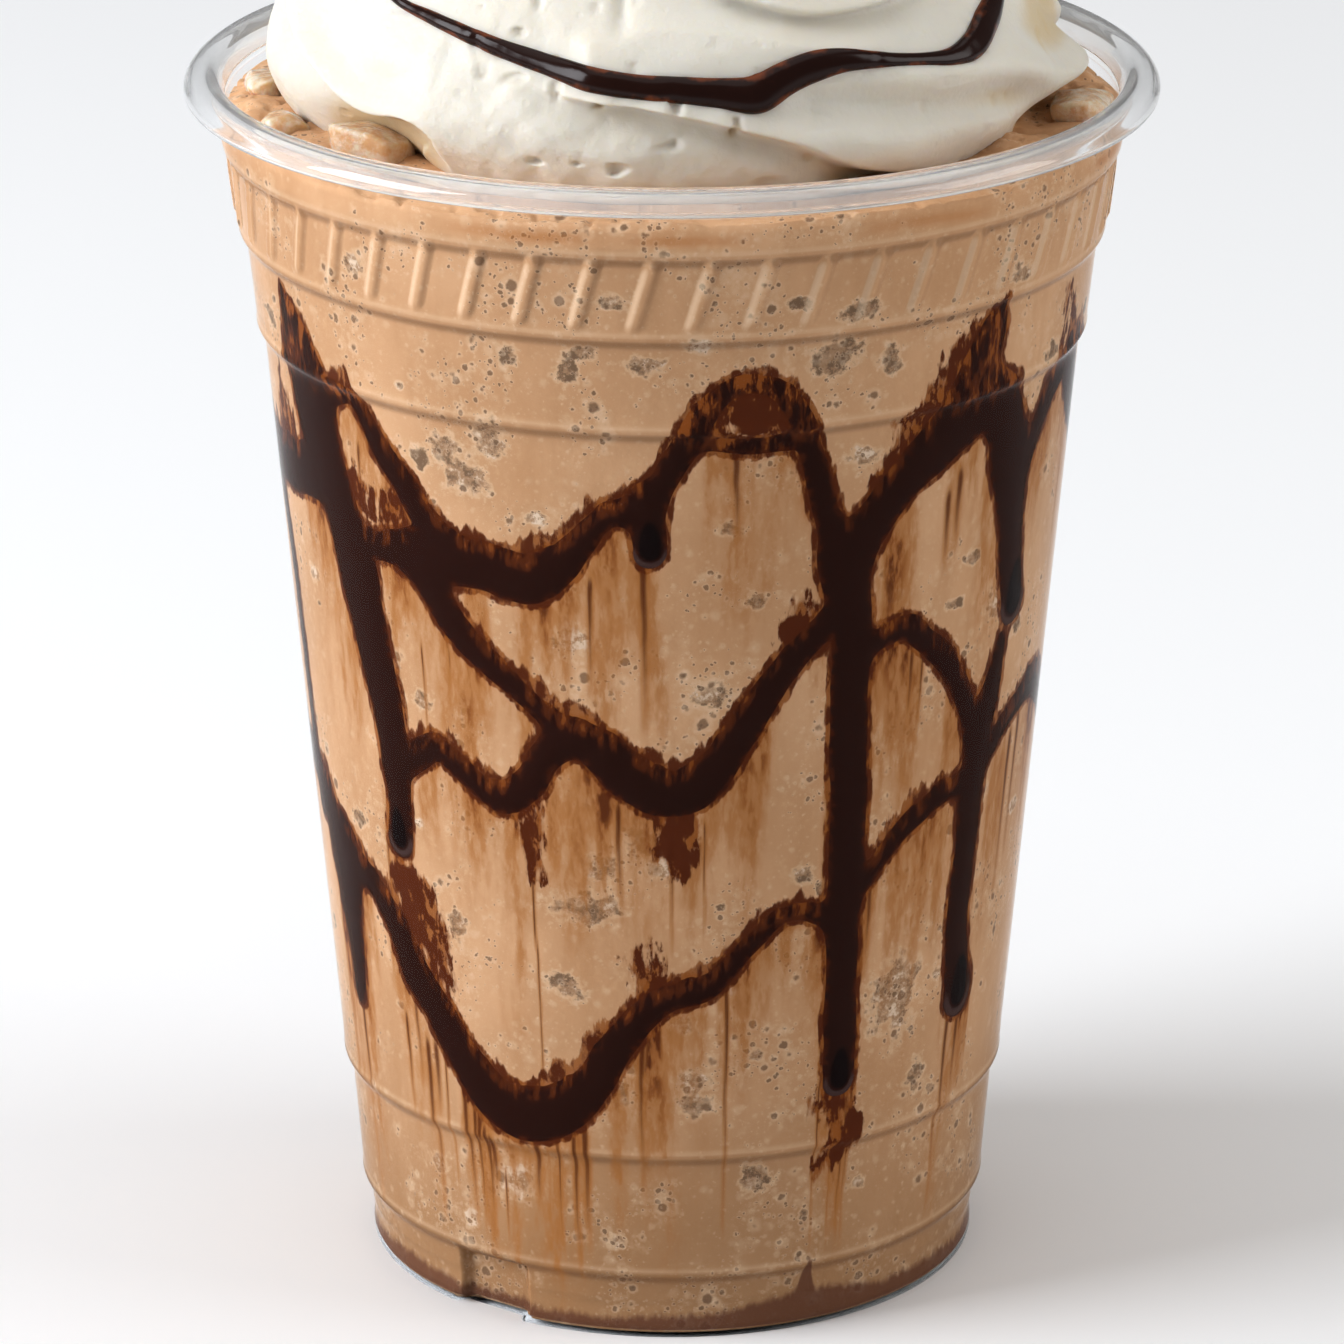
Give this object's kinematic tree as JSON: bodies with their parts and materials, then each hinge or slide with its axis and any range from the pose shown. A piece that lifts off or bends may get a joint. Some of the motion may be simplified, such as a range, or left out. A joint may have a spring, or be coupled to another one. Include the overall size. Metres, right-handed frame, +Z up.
{
  "type": "frappe coffee",
  "caption": "Blended iced coffee filling a clear flared plastic cup to the brim, with sauce down the inner wall and a tall swirl of whipped cream with a sauce drizzle.",
  "frame": {"origin": "centre of the cup's foot, on the surface it stands on", "axes": "+Z up along the cup's axis; the side that the picture shows faces -Y"},
  "size_m": [0.098, 0.098, 0.167],
  "materials": {
    "cup_plastic": "clear thin plastic",
    "drink": "wet blended coffee with fine ice and air bubbles",
    "sauce": "glossy dark chocolate sauce",
    "cream": "soft whipped cream",
    "ice": "wet crushed ice in coffee"
  },
  "bodies": {
    "root": {"cup": "cup_plastic", "drink": "drink", "wall_sauce": "sauce", "whipped_cream": "cream", "ice_chunk_1": "ice", "ice_chunk_2": "ice", "ice_chunk_3": "ice", "ice_chunk_4": "ice", "ice_chunk_5": "ice", "ice_chunk_6": "ice"}
  },
  "joints": []
}
